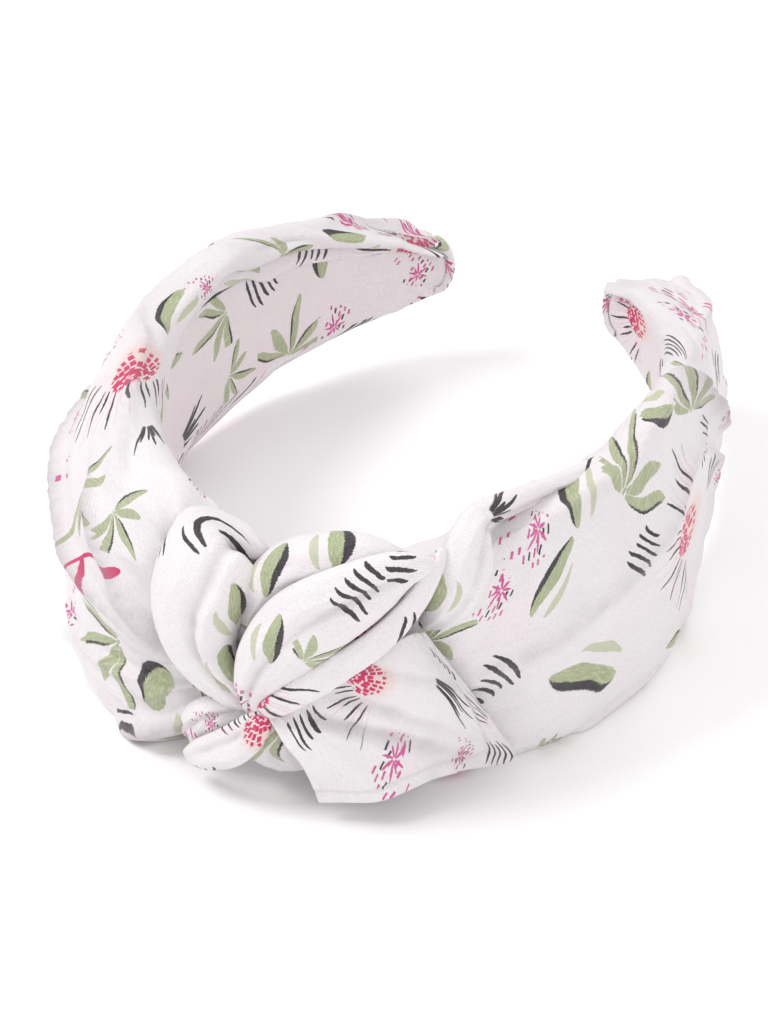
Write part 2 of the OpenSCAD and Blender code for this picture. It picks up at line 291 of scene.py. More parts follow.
class Graph:
    """Adds nodes to a tree; every call returns an output socket."""

    def __init__(self, tree):
        self.tree = tree

    def node(self, kind, inputs=(), **settings):
        n = self.tree.nodes.new(kind)
        for key, value in settings.items():
            setattr(n, key, value)
        for key, value in dict(inputs).items():
            if isinstance(value, bpy.types.NodeSocket):
                self.tree.links.new(value, n.inputs[key])
            else:
                n.inputs[key].default_value = value
        return n

    def math(self, op, *values, clamp=False):
        return self.node("ShaderNodeMath", enumerate(values), operation=op, use_clamp=clamp).outputs[0]

    def add(self, a, b):
        return self.math("ADD", a, b)

    def sub(self, a, b):
        return self.math("SUBTRACT", a, b)

    def mul(self, a, *others):
        for b in others:
            a = self.math("MULTIPLY", a, b)
        return a

    def absolute(self, a):
        return self.math("ABSOLUTE", a)

    def less(self, a, b, soft=0.12):
        """1 where a is under b, with an edge of the given softness."""
        return self.math("MULTIPLY_ADD", self.sub(b, a), 1 / soft, 0.5, clamp=True)

    def hump(self, t):
        """Rises from 0 at t = 0 to 1 and falls back to 0 at t = 1."""
        return self.math("SQRT", self.mul(t, self.sub(1, t), 4))

    def vector(self, op, *values):
        n = self.node("ShaderNodeVectorMath", enumerate(values), operation=op)
        return n.outputs["Value"] if op == "LENGTH" else n.outputs["Vector"]

    def join(self, x, y, z=0.0):
        return self.node("ShaderNodeCombineXYZ", enumerate((x, y, z))).outputs[0]

    def split(self, v):
        n = self.node("ShaderNodeSeparateXYZ", {0: v})
        return n.outputs[0], n.outputs[1]

    def noise(self, v, scale, detail=2.0, rough=0.5, colour=False):
        n = self.node("ShaderNodeTexNoise", {"Vector": v, "Scale": scale, "Detail": detail,
                                             "Roughness": rough})
        return n.outputs["Color" if colour else "Fac"]

    def random(self, x, y, seed=0.0):
        """Two random values for each whole-number place."""
        n = self.node("ShaderNodeTexWhiteNoise", {"Vector": self.join(x, y, seed)}, noise_dimensions="3D")
        return self.split(n.outputs["Color"])

    def mix(self, fac, a, b):
        n = self.node("ShaderNodeMix", data_type="RGBA")
        for socket, value in ((n.inputs[0], fac), (n.inputs[6], a), (n.inputs[7], b)):
            if isinstance(value, bpy.types.NodeSocket):
                self.tree.links.new(value, socket)
            else:
                socket.default_value = value
        return n.outputs[2]


INK = (0.030, 0.026, 0.032, 1)
SAGE = (0.330, 0.385, 0.190, 1)
SAGE_PALE = (0.530, 0.570, 0.370, 1)
CRIMSON = (0.620, 0.018, 0.130, 1)
MAGENTA = (0.640, 0.085, 0.300, 1)
PEACH = (0.870, 0.600, 0.510, 1)
PETAL_LINE = (0.820, 0.520, 0.600, 1)
BLUSH = (0.890, 0.740, 0.810, 1)


def polar(g, x, y):
    return g.vector("LENGTH", g.join(x, y)), g.math("ARCTAN2", y, x)


def spokes(g, x, y, count, start, end, width, keep, seed):
    """Tapered lines that spread from a centre, of random lengths. keep is the share of them drawn."""
    radius, angle = polar(g, x, y)
    way = g.mul(angle, count / (2 * pi))
    number = g.math("FLOOR", way)
    r1, r2 = g.random(number, seed)
    centre = g.math("MULTIPLY_ADD", r1, 0.4, 0.3)
    off = g.mul(g.absolute(g.sub(g.math("FRACT", way), centre)), radius, 2 * pi / count)
    length = g.math("MULTIPLY_ADD", r1, 0.6 * (end - start), 0.4 * (end - start))
    t = g.math("DIVIDE", g.sub(g.sub(radius, start), g.mul(r2, 0.2 * start)), length, clamp=True)
    inside = g.mul(g.less(0.03, t, 0.03), g.less(t, 0.97, 0.03))
    return g.mul(g.less(off, g.mul(g.hump(t), width), 0.12), g.less(r2, keep, 0.01), inside)


def flower(g, x, y, edge, colour, here):
    """A thistle head: a peach wash, short crimson strokes, and pale and black lines that spread from it."""
    petals = spokes(g, g.sub(x, 3), y, 60, 6.0, 24.0, 0.22, 0.85, 11)
    colour = g.mix(g.mul(petals, here, g.less(x, 3, 4.0), 0.6), colour, PETAL_LINE)
    wash = g.vector("LENGTH", g.join(g.mul(g.sub(x, 2.5), 1 / 8.5), g.mul(y, 1 / 6.6)))
    colour = g.mix(g.mul(g.less(g.add(wash, g.mul(edge, 0.7)), 1.2, 0.5), here, 0.6), colour, PEACH)
    lines = spokes(g, g.sub(x, 5), y, 34, 9.5, 26.0, 0.40, 0.62, 13)
    colour = g.mix(g.mul(lines, here, g.less(x, 1.5, 2.0)), colour, INK)
    radius, angle = polar(g, g.add(x, 8), y)
    lanes = 7.4
    way = g.mul(angle, lanes)
    number = g.math("FLOOR", way)
    r1, _ = g.random(number, 12.0)
    steps = g.math("MULTIPLY_ADD", radius, 1 / 3.0, r1)
    step = g.math("FLOOR", steps)
    r2, _ = g.random(number, step, 5.0)
    off = g.mul(g.absolute(g.sub(g.math("FRACT", way), 0.5)), radius, 1 / lanes)
    end = g.absolute(g.sub(g.math("FRACT", steps), 0.5))
    dash = g.mul(g.less(off, 0.5, 0.12), g.less(end, 0.38, 0.06), g.less(r2, 0.93, 0.01))
    head = g.vector("LENGTH", g.join(g.mul(x, 1 / 6.8), g.mul(y, 1 / 5.4)))
    return g.mix(g.mul(dash, here, g.less(g.add(head, g.mul(edge, 0.4)), 1.2, 0.1)), colour, CRIMSON)


def blade(g, u, v, length, half, grain, lean=0.0):
    """A leaf along u and a dry black stroke along one of its sides."""
    t = g.math("DIVIDE", u, length, clamp=True)
    swell = g.mul(g.math("POWER", g.hump(t), 1.5), half)
    v = g.add(v, g.mul(g.hump(t), lean))
    body = g.less(g.absolute(v), swell, 0.2)
    rough = g.math("MULTIPLY_ADD", grain, 1.3, -0.25)
    ink = g.less(g.add(g.absolute(g.sub(v, g.mul(swell, 0.75))), rough), g.mul(swell, 0.5), 0.1)
    inside = g.mul(g.less(0.03, t, 0.03), g.less(t, 0.97, 0.03))
    return g.mul(body, inside), g.mul(ink, inside)


def sprig(g, x, y, grain, green, colour, here):
    """Five leaves that fan out from one stem."""
    radius, angle = polar(g, g.add(x, 6), y)
    gap = 0.7
    number = g.math("ROUND", g.mul(angle, 1 / gap))
    r1, r2 = g.random(number, 21.0)
    off = g.sub(g.sub(angle, g.mul(number, gap)), g.math("MULTIPLY_ADD", r1, 0.2, -0.1))
    u = g.mul(radius, g.math("COSINE", off))
    v = g.mul(radius, g.math("SINE", off))
    body, ink = blade(g, g.sub(u, 0.5), v, g.math("MULTIPLY_ADD", r2, 7.0, 11.5), 1.45, grain, 0.5)
    fan = g.mul(here, g.less(g.absolute(number), 2.5, 0.1), g.less(r2, 0.78, 0.01))
    stem = g.mul(g.less(g.absolute(y), 0.36), g.less(g.absolute(g.add(x, 9)), 4.0))
    colour = g.mix(g.mul(g.math("MAXIMUM", body, stem), fan, 0.92), colour, green)
    return g.mix(g.mul(ink, fan, g.less(r1, 0.75, 0.01)), colour, INK)


def big_leaf(g, x, y, grain, green, colour, here):
    """One long leaf with a heavy stroke, and a paler, thinner one beside it."""
    beside, _ = blade(g, g.add(x, 6), g.add(y, 3.4), 16.0, 1.3, grain, 1.6)
    colour = g.mix(g.mul(beside, here, 0.85), colour, SAGE_PALE)
    body, ink = blade(g, g.add(x, 11.5), y, 23.0, 3.0, grain, -1.8)
    colour = g.mix(g.mul(body, here, 0.95), colour, green)
    return g.mix(g.mul(ink, here), colour, INK)


def brush_rows(g, x, y, colour, here):
    """A few black strokes side by side."""
    pitch = 2.3
    row = g.math("ROUND", g.mul(y, 1 / pitch))
    r1, r2 = g.random(row, 31.0)
    start = g.math("MULTIPLY_ADD", r1, 2.5, -6.5)
    t = g.math("DIVIDE", g.sub(x, start), g.math("MULTIPLY_ADD", r2, 5.0, 7.0), clamp=True)
    bow = g.mul(g.hump(t), 0.8)
    off = g.absolute(g.sub(g.add(y, bow), g.mul(row, pitch)))
    rows = g.mul(g.less(off, g.mul(g.hump(t), 0.55), 0.12), g.less(g.absolute(row), 2.5, 0.1),
                 g.less(0.02, t, 0.02), g.less(t, 0.97, 0.03))
    return g.mix(g.mul(rows, here), colour, INK)


def small_marks(g, x, y, colour, here):
    """Short pink and black dashes with a small magenta star."""
    wide, tall = 1.5, 2.5
    column = g.math("FLOOR", g.mul(x, 1 / wide))
    climb = g.math("MULTIPLY_ADD", y, 1 / tall, g.mul(column, 0.37))
    row = g.math("FLOOR", climb)
    r1, r2 = g.random(column, row, 9.0)
    off_x = g.absolute(g.sub(g.mul(x, 1 / wide), g.add(column, 0.5)))
    off_y = g.absolute(g.sub(climb, g.add(row, 0.5)))
    dash = g.mul(g.less(off_x, 0.20, 0.08), g.less(off_y, 0.32, 0.06), g.less(r1, 0.36, 0.01))
    radius = g.vector("LENGTH", g.join(x, g.mul(y, 1.4)))
    dash = g.mul(dash, here, g.less(radius, 8.0, 0.1))
    colour = g.mix(g.mul(dash, g.less(r2, 0.6, 0.01)), colour, MAGENTA)
    colour = g.mix(g.mul(dash, g.less(0.6, r2, 0.01)), colour, INK)
    star = spokes(g, g.sub(x, 2), g.add(y, 1), 8, 0.2, 4.6, 0.30, 0.9, 31)
    return g.mix(g.mul(star, here), colour, MAGENTA)


def bar(g, x, y, x0, y0, x1, y1, half):
    """A rounded stroke between two places."""
    length = ((x1 - x0) ** 2 + (y1 - y0) ** 2) ** 0.5
    cx, cy = (x1 - x0) / length, (y1 - y0) / length
    along = g.add(g.mul(g.sub(x, x0), cx), g.mul(g.sub(y, y0), cy))
    near = g.math("MINIMUM", g.math("MAXIMUM", along, 0), length)
    return g.less(g.vector("LENGTH", g.join(g.sub(g.sub(x, x0), g.mul(near, cx)),
                                            g.sub(g.sub(y, y0), g.mul(near, cy)))), half)


def twig(g, x, y, colour, here):
    """A crimson twig with a bud."""
    bow = g.sub(y, g.math("MULTIPLY_ADD", g.mul(x, x), -0.035, 1.5))
    mark = g.math("MAXIMUM", bar(g, x, bow, -8, 0, 8, 0, 0.62), bar(g, x, y, -4.5, 0.5, -2.5, -6.5, 0.62))
    mark = g.math("MAXIMUM", mark, bar(g, x, y, 7.5, -0.9, 8, -1.1, 1.3))
    return g.mix(g.mul(mark, here), colour, CRIMSON)


def build_print():
    """The botanical print. Place is on the cloth; Motif is the motif's kind and the place within it."""
    tree = bpy.data.node_groups.new("botanical_print", "ShaderNodeTree")
    tree.interface.new_socket("Place", in_out="INPUT", socket_type="NodeSocketVector")
    tree.interface.new_socket("Motif", in_out="INPUT", socket_type="NodeSocketVector")
    tree.interface.new_socket("Ground", in_out="INPUT", socket_type="NodeSocketColor")
    tree.interface.new_socket("Color", in_out="OUTPUT", socket_type="NodeSocketColor")
    g = Graph(tree)
    start = tree.nodes.new("NodeGroupInput")
    cloth, colour = start.outputs["Place"], start.outputs["Ground"]
    coded_x, coded_y = g.split(start.outputs["Motif"])
    kind = g.math("FLOOR", coded_x)

    fine = g.noise(cloth, 1.1, 2.0, colour=True)
    slow = g.noise(cloth, 0.07, 1.0, colour=True)
    fine_x, fine_y = g.split(fine)
    slow_x, slow_y = g.split(slow)
    x = g.mul(g.sub(g.math("FRACT", coded_x), 0.5), 1000)
    y = g.mul(coded_y, 1000)
    x = g.add(x, g.add(g.mul(g.sub(fine_x, 0.5), 0.45), g.mul(g.sub(slow_x, 0.5), 6)))
    y = g.add(y, g.add(g.mul(g.sub(fine_y, 0.5), 0.45), g.mul(g.sub(slow_y, 0.5), 6)))

    wash = g.math("MULTIPLY_ADD", g.noise(cloth, 0.035, 2.0), 5.0, -2.5, clamp=True)
    colour = g.mix(g.mul(wash, 0.35), colour, BLUSH)
    grain = g.noise(cloth, 3.2, 2.0, 0.7)
    streaks = g.noise(g.join(g.mul(x, 0.35), g.mul(y, 2.6)), 1.0, 2.0)
    green = g.mix(g.math("MULTIPLY_ADD", streaks, 3.5, -1.4, clamp=True), SAGE, SAGE_PALE)

    def here(number):
        return g.math("COMPARE", kind, number, 0.5)

    colour = flower(g, x, y, fine_y, colour, here(FLOWER))
    colour = sprig(g, x, y, grain, green, colour, here(SPRIG))
    colour = big_leaf(g, x, y, grain, green, colour, here(LEAF))
    colour = brush_rows(g, x, y, colour, here(ROWS))
    colour = small_marks(g, x, y, colour, here(MARKS))
    colour = twig(g, x, y, colour, here(TWIG))
    grass = spokes(g, g.add(x, 9), y, 46, 3.0, 22.0, 0.62, 0.8, 41)
    grass = g.mul(grass, here(GRASS), g.less(g.absolute(y), g.math("MULTIPLY_ADD", x, 0.45, 5.0), 0.5))
    colour = g.mix(grass, colour, INK)
    end = tree.nodes.new("NodeGroupOutput")
    tree.links.new(colour, end.inputs[0])
    return tree


def cloth_material(name, ground, print_group, sheen, rough):
    material = bpy.data.materials.new(name)
    material.use_nodes = True
    tree = material.node_tree
    tree.nodes.clear()
    g = Graph(tree)
    uv = g.node("ShaderNodeUVMap", uv_map="cloth").outputs[0]
    at = g.vector("MULTIPLY", uv, (1000, 1000, 0))
    tint = g.mix(g.math("MULTIPLY_ADD", g.noise(at, 0.06, 3.0), 1.6, -0.3, clamp=True), ground,
                 tuple(0.96 * c for c in ground[:3]) + (1,))
    motif = g.node("ShaderNodeUVMap", uv_map="motif").outputs[0]
    printed = g.node("ShaderNodeGroup", node_tree=print_group)
    for socket, name in ((at, "Place"), (motif, "Motif"), (tint, "Ground")):
        tree.links.new(socket, printed.inputs[name])
    x, y = g.split(at)
    twill = g.math("SINE", g.mul(g.add(x, y), 2 * pi / 0.62))
    cross = g.math("SINE", g.mul(g.sub(x, y), 2 * pi / 0.9))
    slub = g.noise(g.join(g.mul(x, 0.5), g.mul(y, 4.0)), 0.9, 3.0)
    weave = g.add(g.mul(g.add(twill, g.mul(cross, 0.35)), 0.5), slub)
    thread = g.noise(g.join(g.mul(x, 2.4), g.mul(y, 1.2)), 1.0, 1.0)
    shade = g.add(g.math("MULTIPLY_ADD", twill, 0.05, 0.05), g.math("MULTIPLY_ADD", thread, 0.34, -0.15))
    shaded = g.mix(shade, printed.outputs[0], (0.30, 0.27, 0.29, 1))
    # Painted shade: the crease layer darkens the cloth towards a dim mauve in creases, under folds and in
    # gathers
    painted_shade, _ = g.split(g.node("ShaderNodeUVMap", uv_map="crease").outputs[0])
    shaded = g.mix(g.mul(painted_shade, 0.5), shaded, (0.34, 0.29, 0.32, 1))
    crumple = g.noise(at, 0.11, 4.0, 0.55)
    bump_fine = g.node("ShaderNodeBump", {"Height": weave, "Strength": 0.5, "Distance": 0.00012})
    bump = g.node("ShaderNodeBump", {"Height": crumple, "Strength": 0.6, "Distance": 0.0014,
                                     "Normal": bump_fine.outputs[0]})
    surface = g.node("ShaderNodeBsdfPrincipled", {"Base Color": shaded, "Roughness": rough,
                                                  "Specular IOR Level": 0.35, "Sheen Weight": sheen,
                                                  "Sheen Roughness": 0.4, "Normal": bump.outputs[0]})
    output = g.node("ShaderNodeOutputMaterial")
    tree.links.new(surface.outputs[0], output.inputs["Surface"])
    return material


def plain_material(name, colour, rough, scale, depth, mottle=0.08):
    """A material with fine grain, for the plastic core, foam, tape, thread and floor."""
    material = bpy.data.materials.new(name)
    material.use_nodes = True
    tree = material.node_tree
    tree.nodes.clear()
    g = Graph(tree)
    at = g.node("ShaderNodeTexCoord").outputs["Object"]
    grain = g.noise(at, scale, 4.0, 0.6)
    dark = tuple((1 - mottle) * c for c in colour[:3]) + (1,)
    bump = g.node("ShaderNodeBump", {"Height": grain, "Strength": 0.5, "Distance": depth})
    surface = g.node("ShaderNodeBsdfPrincipled", {"Base Color": g.mix(grain, colour, dark),
                                                  "Roughness": rough, "Normal": bump.outputs[0]})
    output = g.node("ShaderNodeOutputMaterial")
    tree.links.new(surface.outputs[0], output.inputs["Surface"])
    return material


PRINT = build_print()
SATIN = cloth_material("printed_satin", (0.855, 0.822, 0.832, 1), PRINT, 0.1, 0.5)
LINING = cloth_material("printed_lining", (0.860, 0.800, 0.816, 1), PRINT, 0.1, 0.62)
PLASTIC = plain_material("core_plastic", (0.86, 0.86, 0.83, 1), 0.42, 900, 0.00003)
FOAM = plain_material("sponge_foam", (0.86, 0.84, 0.74, 1), 0.9, 1400, 0.0003, 0.25)
TAPE = plain_material("foam_tape", (0.72, 0.64, 0.42, 1), 0.6, 700, 0.00004)
THREAD = plain_material("sewing_thread", (0.88, 0.86, 0.85, 1), 0.7, 4000, 0.0001)


def finish_piece(obj, material, nodes):
    obj.data.materials.clear()
    obj.data.materials.append(material)
    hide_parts(*nodes)


def side_word(side):
    return "left" if side < 0 else "right"


def ahead(side, turn):
    """The way along the band towards the tip."""
    return np.array([side * cos(radians(turn)), sin(radians(turn)), 0])


def bend_with_arm(obj):
    """Bakes the piece's transform into its mesh."""
    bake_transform(obj)


# Gathered cloth round the band

# Rows of (turn, edge, top, bottom, belly): heights of the cloth's upper edge and of its top over the
# band's middle, depth of its bottom under it, and reach out from the lining
LEFT_SHAPE = [
    (-2, 8, 12, 12, 10), (8, 12, 18, 20, 14), (16, 15, 25, 28, 20), (26, 16, 31, 30.5, 24.5),
    (42, 16, 32, 30.5, 24.5), (62, 15, 31, 30.5, 20), (74, 15, 30, 30.5, 15.5), (82, 20, 29, 30, 13.5),
    (92, 22, 28.5, 29.5, 12.5), (101, 23.5, 28, 27, 11.5), (107, 20, 27, 24.5, 11),
    (117, 18, 23, 21, 10.5), (128, 12.5, 16, 17, 10), (138, 8.5, 10, 13, 9),
    (148, 6, 7.2, 10, 8), (157, 5, 6, 7.6, 7)]
RIGHT_SHAPE = [
    (-2, 8, 12, 12, 10), (8, 12, 16, 20, 11), (20, 14, 21, 28, 14), (36, 15, 27, 30.5, 18),
    (54, 16, 30, 30.5, 19.5), (74, 17, 33.5, 30.5, 18), (88, 18, 34.5, 29.5, 13),
    (98, 17.5, 32, 28, 10.5), (108, 15.5, 25, 24.5, 9.5), (118, 13, 20.5, 22, 11.5),
    (126, 12, 17.5, 18, 15.5), (134, 10.5, 14.5, 14.5, 15), (146, 8, 10, 11, 10),
    (157, 6, 7.4, 7.8, 7.2)]

# Folds pressed into the cloth: (kind, points of (turn, round), height, width, lean). round runs from 0
# at the cloth's upper edge, over the outside, to 1 at its lower edge. A crease is sharp, a roll is soft,
# and a step drops to the cloth underneath on the side of its lower edge
CREASE, ROLL, STEP = 1.0, 2.0, 0.0
LEFT_FOLDS = [
    (CREASE, [(100, 0.30), (84, 0.38), (66, 0.41), (48, 0.43), (30, 0.46), (12, 0.52)], -5.0, 3.0, 0.6),
    (CREASE, [(58, 0.24), (44, 0.30), (32, 0.38), (18, 0.47), (6, 0.50)], -4.6, 2.6, 0.5),
    (STEP, [(70, 0.68), (50, 0.64), (38, 0.62), (24, 0.60), (6, 0.58)], 1.8, 4.0, 0.0),
    (ROLL, [(64, 0.52), (48, 0.53), (30, 0.54), (10, 0.55)], 1.6, 6.0, 0.0),
    (CREASE, [(94, 0.10), (78, 0.16), (60, 0.16), (44, 0.22), (26, 0.32)], -2.6, 2.2, 0.4),
    (CREASE, [(44, 0.82), (30, 0.75), (16, 0.68), (6, 0.62)], -4.4, 2.6, 0.5),
    (CREASE, [(150, 0.22), (136, 0.20), (122, 0.16), (112, 0.12)], -3.0, 1.8, 0.5),
    (CREASE, [(146, 0.62), (126, 0.58), (104, 0.62), (84, 0.68)], -1.8, 2.4, -0.4),
    (CREASE, [(116, 0.34), (104, 0.25), (92, 0.22), (82, 0.26)], -2.4, 2.0, 0.5),
    (ROLL, [(120, 0.28), (108, 0.30), (96, 0.32), (84, 0.33)], 1.8, 4.0, 0.0),
    (ROLL, [(104, 0.06), (98, 0.05), (90, 0.06)], 1.2, 3.0, 0.0)]
RIGHT_FOLDS = [
    (CREASE, [(30, 0.54), (52, 0.48), (70, 0.43), (90, 0.36), (108, 0.29)], -3.0, 3.0, 0.5),
    (ROLL, [(30, 0.62), (46, 0.62), (64, 0.61), (84, 0.56)], 1.8, 8.0, 0.0),
    (STEP, [(34, 0.81), (50, 0.80), (68, 0.79), (88, 0.78)], 1.3, 2.6, 0.0),
    (CREASE, [(82, 0.14), (94, 0.22), (104, 0.32), (113, 0.44), (121, 0.58)], -5.6, 2.6, 0.6),
    (CREASE, [(98, 0.40), (104, 0.46), (110, 0.54), (116, 0.66)], -4.0, 2.4, 0.5),
    (ROLL, [(88, 0.12), (98, 0.15), (110, 0.24), (122, 0.34)], 2.0, 3.0, 0.0),
    (CREASE, [(34, 0.21), (50, 0.215), (66, 0.215), (84, 0.20), (96, 0.17)], -2.4, 1.8, 0.6),
    (CREASE, [(154, 0.30), (142, 0.28), (130, 0.26), (118, 0.20)], -3.4, 1.8, 0.4),
    (CREASE, [(146, 0.62), (126, 0.60), (104, 0.66), (90, 0.72)], -1.8, 2.4, -0.4)]

WRAP_ROWS, WRAP_COLS = 176, 116


def wrap_outline(turn, edge, top, bottom, belly):
    """Places (out, up) round the cloth at one turn, from its upper edge to its lower edge."""
    lip = core_half(turn) + 0.6
    lift, drop = top - edge, bottom - lip
    keys = [(-2.3, edge), (-2.8, edge + 0.2 * lift), (-2.0, edge + 0.7 * lift),
            (0.06 * belly, top - 0.05 * lift), (0.30 * belly, top),
            (0.60 * belly, top - 0.08 * top), (0.86 * belly, 0.62 * top),
            (0.98 * belly, 0.22 * top), (belly, -0.16 * bottom), (0.99 * belly, -0.55 * bottom),
            (0.90 * belly, -bottom + 0.2 * drop), (0.62 * belly, -bottom),
            (0.26 * belly, -lip - 0.62 * drop), (0.5, -lip - 0.12 * drop), (0.9, -lip + 1.5)]
    return even(through(keys, 220), WRAP_COLS)


def pressed(folds, turn, around, run, span):
    """How far each point of the cloth moves out for its folds, in millimetres."""
    depth = np.zeros_like(run)
    mean_run = run.mean(axis=1)
    for kind, points, height, width, lean in folds:
        line = through(np.array(points, float), 60)
        line_s = np.interp(line[:, 0], turn, mean_run)
        line_w = line[:, 1] * span
        ds = run[..., None] - line_s
        dw = around[..., None] * span - line_w
        far = np.hypot(ds, dw)
        k = far.argmin(axis=-1)
        best = np.take_along_axis(far, k[..., None], -1)[..., 0]
        side = np.sign(np.take_along_axis(dw, k[..., None], -1)[..., 0])
        fade = np.clip(np.minimum(k, 59 - k) / 16, 0.12, 1)
        if kind == STEP:
            depth -= height * fade * side * np.exp(-best / np.where(side > 0, 0.7 * width, 2 * width))
        else:
            reach = width * (1 + lean * side)
            power = 1.25 if kind == CREASE else 2.0
            depth += height * fade * np.exp(-(best / reach) ** power)
    return depth


def gathered_cloth(side, shape, folds, seed):
    word = side_word(side)
    turn = np.linspace(shape[0][0], shape[-1][0], WRAP_ROWS)
    outlines = np.stack([wrap_outline(*row) for row in zip(turn, *keyed(shape, turn))])
    grid = place(side * turn[:, None], outlines[..., 0], outlines[..., 1])
    around = np.linspace(0, 1, WRAP_COLS)[None, :].repeat(WRAP_ROWS, 0)
    run, span = runs(grid, 0), runs(grid, 1)
    width = span[:, -1].max()
    depth = pressed(folds, turn, around, run, width)
    # Painted shade: darker where the folds press the cloth in
    painted_shade = np.clip(-depth / 4.5, 0, 1) ** 1.6
    edge = np.clip(np.minimum(around, 1 - around) / 0.08, 0, 1)
    near = np.exp(-turn[:, None] / 24)
    gathers = np.abs(np.sin(around * 36 + 1.4 * soft_noise(run, span, seed, 40)))
    depth += 3.0 * near * (gathers - 0.6) * edge
    # More painted shade in the gathers' valleys near the knot
    painted_shade = painted_shade + 0.9 * near * edge * np.clip(0.35 - gathers, 0, 1) / 0.35
    depth += edge * (0.7 * soft_noise(run, span, seed + 1, 30)
                     + 0.3 * soft_noise(run, span, seed + 2, 12))
    depth += 0.5 * edge * soft_noise(0.3 * run, span, seed + 3, 11) * np.exp(-turn[:, None] / 70)
    out = normals(grid) * side
    grid = grid + out * depth[..., None]
    grid[..., 2] = np.maximum(grid[..., 2], 0.4)
    obj = mesh_object("gathered_cloth_" + word, grid, np.stack([run, span], -1), seed, painted_shade=painted_shade)
    smooth_cloth(obj, SATIN_T)
    nodes = [f"wrap_{word}_{part}" for part in ("gather", "crown", "arm")]
    finish_piece(obj, SATIN, nodes)
    bend_with_arm(obj)


def inner_layer(side, edge, seed):
    """The cloth's turned-in layer: a band that shows under its upper edge, over the lining."""
    word = side_word(side)
    turn = np.linspace(edge[0][0], edge[-1][0], 110)
    low, high = keyed(edge, turn)
    v = np.linspace(0, 1, 16)
    up = low[:, None] + (high - low)[:, None] * v
    out = -0.45 - 0.5 * np.sin(pi * v)[None] + 0.35 * v[None] + 0 * up
    grid = place(side * turn[:, None], out, up)
    run, span = runs(grid, 0), runs(grid, 1)
    grid = grid + (normals(grid) * side) * (0.18 * soft_noise(run, span, seed, 9))[..., None]
    # Painted shade on the layer's upper part, where it lies under the cloth's lip
    painted_shade = 0.8 * v[None] ** 2 + 0 * up
    obj = mesh_object("turned_in_layer_" + word, grid, np.stack([run, span], -1) + 300, seed, painted_shade=painted_shade)
    smooth_cloth(obj, THIN_SATIN_T)
    finish_piece(obj, SATIN, [f"wrap_{word}_arm"])
    bend_with_arm(obj)


# Rows of (turn, lower edge, upper edge)
LEFT_INNER = [(64, 12, 20), (70, 12, 22), (76, 10, 24), (86, 14.5, 26), (96, 19, 27),
              (103, 17.5, 26), (107, 16, 24), (111, 12, 22), (117, 12, 20),
              (128, 8.5, 15), (140, 6, 11), (150, 4.5, 9)]
RIGHT_INNER = [(64, 12, 20), (76, 13, 22), (90, 14, 21), (104, 12, 19), (116, 11, 16), (128, 8.5, 13.5),
               (140, 6.5, 11), (150, 4.5, 9)]


# Flat strips inside the band: lining and foam

def strip(name, side, inner, outer, grow, end, rows, cols, puff):
    """A closed pad along half the band, from the crown's middle to the tip."""
    turn = np.linspace(0.1, end, rows)
    half = core_half(turn) + grow
    close = np.clip((end - turn) / 6, 0, 1)
    half = half * (0.45 + 0.55 * np.sqrt(1 - (1 - close) ** 2))
    q = np.linspace(0, 2 * pi, cols, endpoint=False)
    across = np.sign(np.cos(q)) * np.abs(np.cos(q)) ** 0.35
    thick = np.sign(np.sin(q)) * np.abs(np.sin(q)) ** 0.5
    up = half[:, None] * across[None]
    middle, deep = (inner + outer) / 2, (outer - inner) / 2
    out = middle + deep * thick[None] * np.ones_like(up)
    out = out + puff * (1 - (up / half[:, None]) ** 2) * (thick[None] < 0) * -1
    grid = place(side * turn[:, None], out, up)
    if side > 0:
        grid = grid[:, ::-1]
    cloth = np.stack([runs(grid, 0) + side * 60, up[:, ::-1] if side > 0 else up], -1)
    cloth = np.concatenate([cloth, cloth[:, :1]], 1)
    return mesh_object(name, grid, cloth, wrap_round=True, caps=True)


def lining(side):
    word = side_word(side)
    obj = strip("lining_" + word, side, 0, LINING_T, 1, TIP_TURN, 90, 48, 0.15)
    finish_piece(obj, LINING, ["lining_crown", f"lining_{word}_arm"])
    bend_with_arm(obj)


def padding(side):
    word = side_word(side)
    obj = strip("foam_pad_" + word, side, FOAM_IN, FOAM_OUT, 0, TIP_TURN - 4, 60, 32, 0)
    finish_piece(obj, FOAM, ["foam_crown", f"foam_{word}_arm"])
    bend_with_arm(obj)


# Folds of the knot

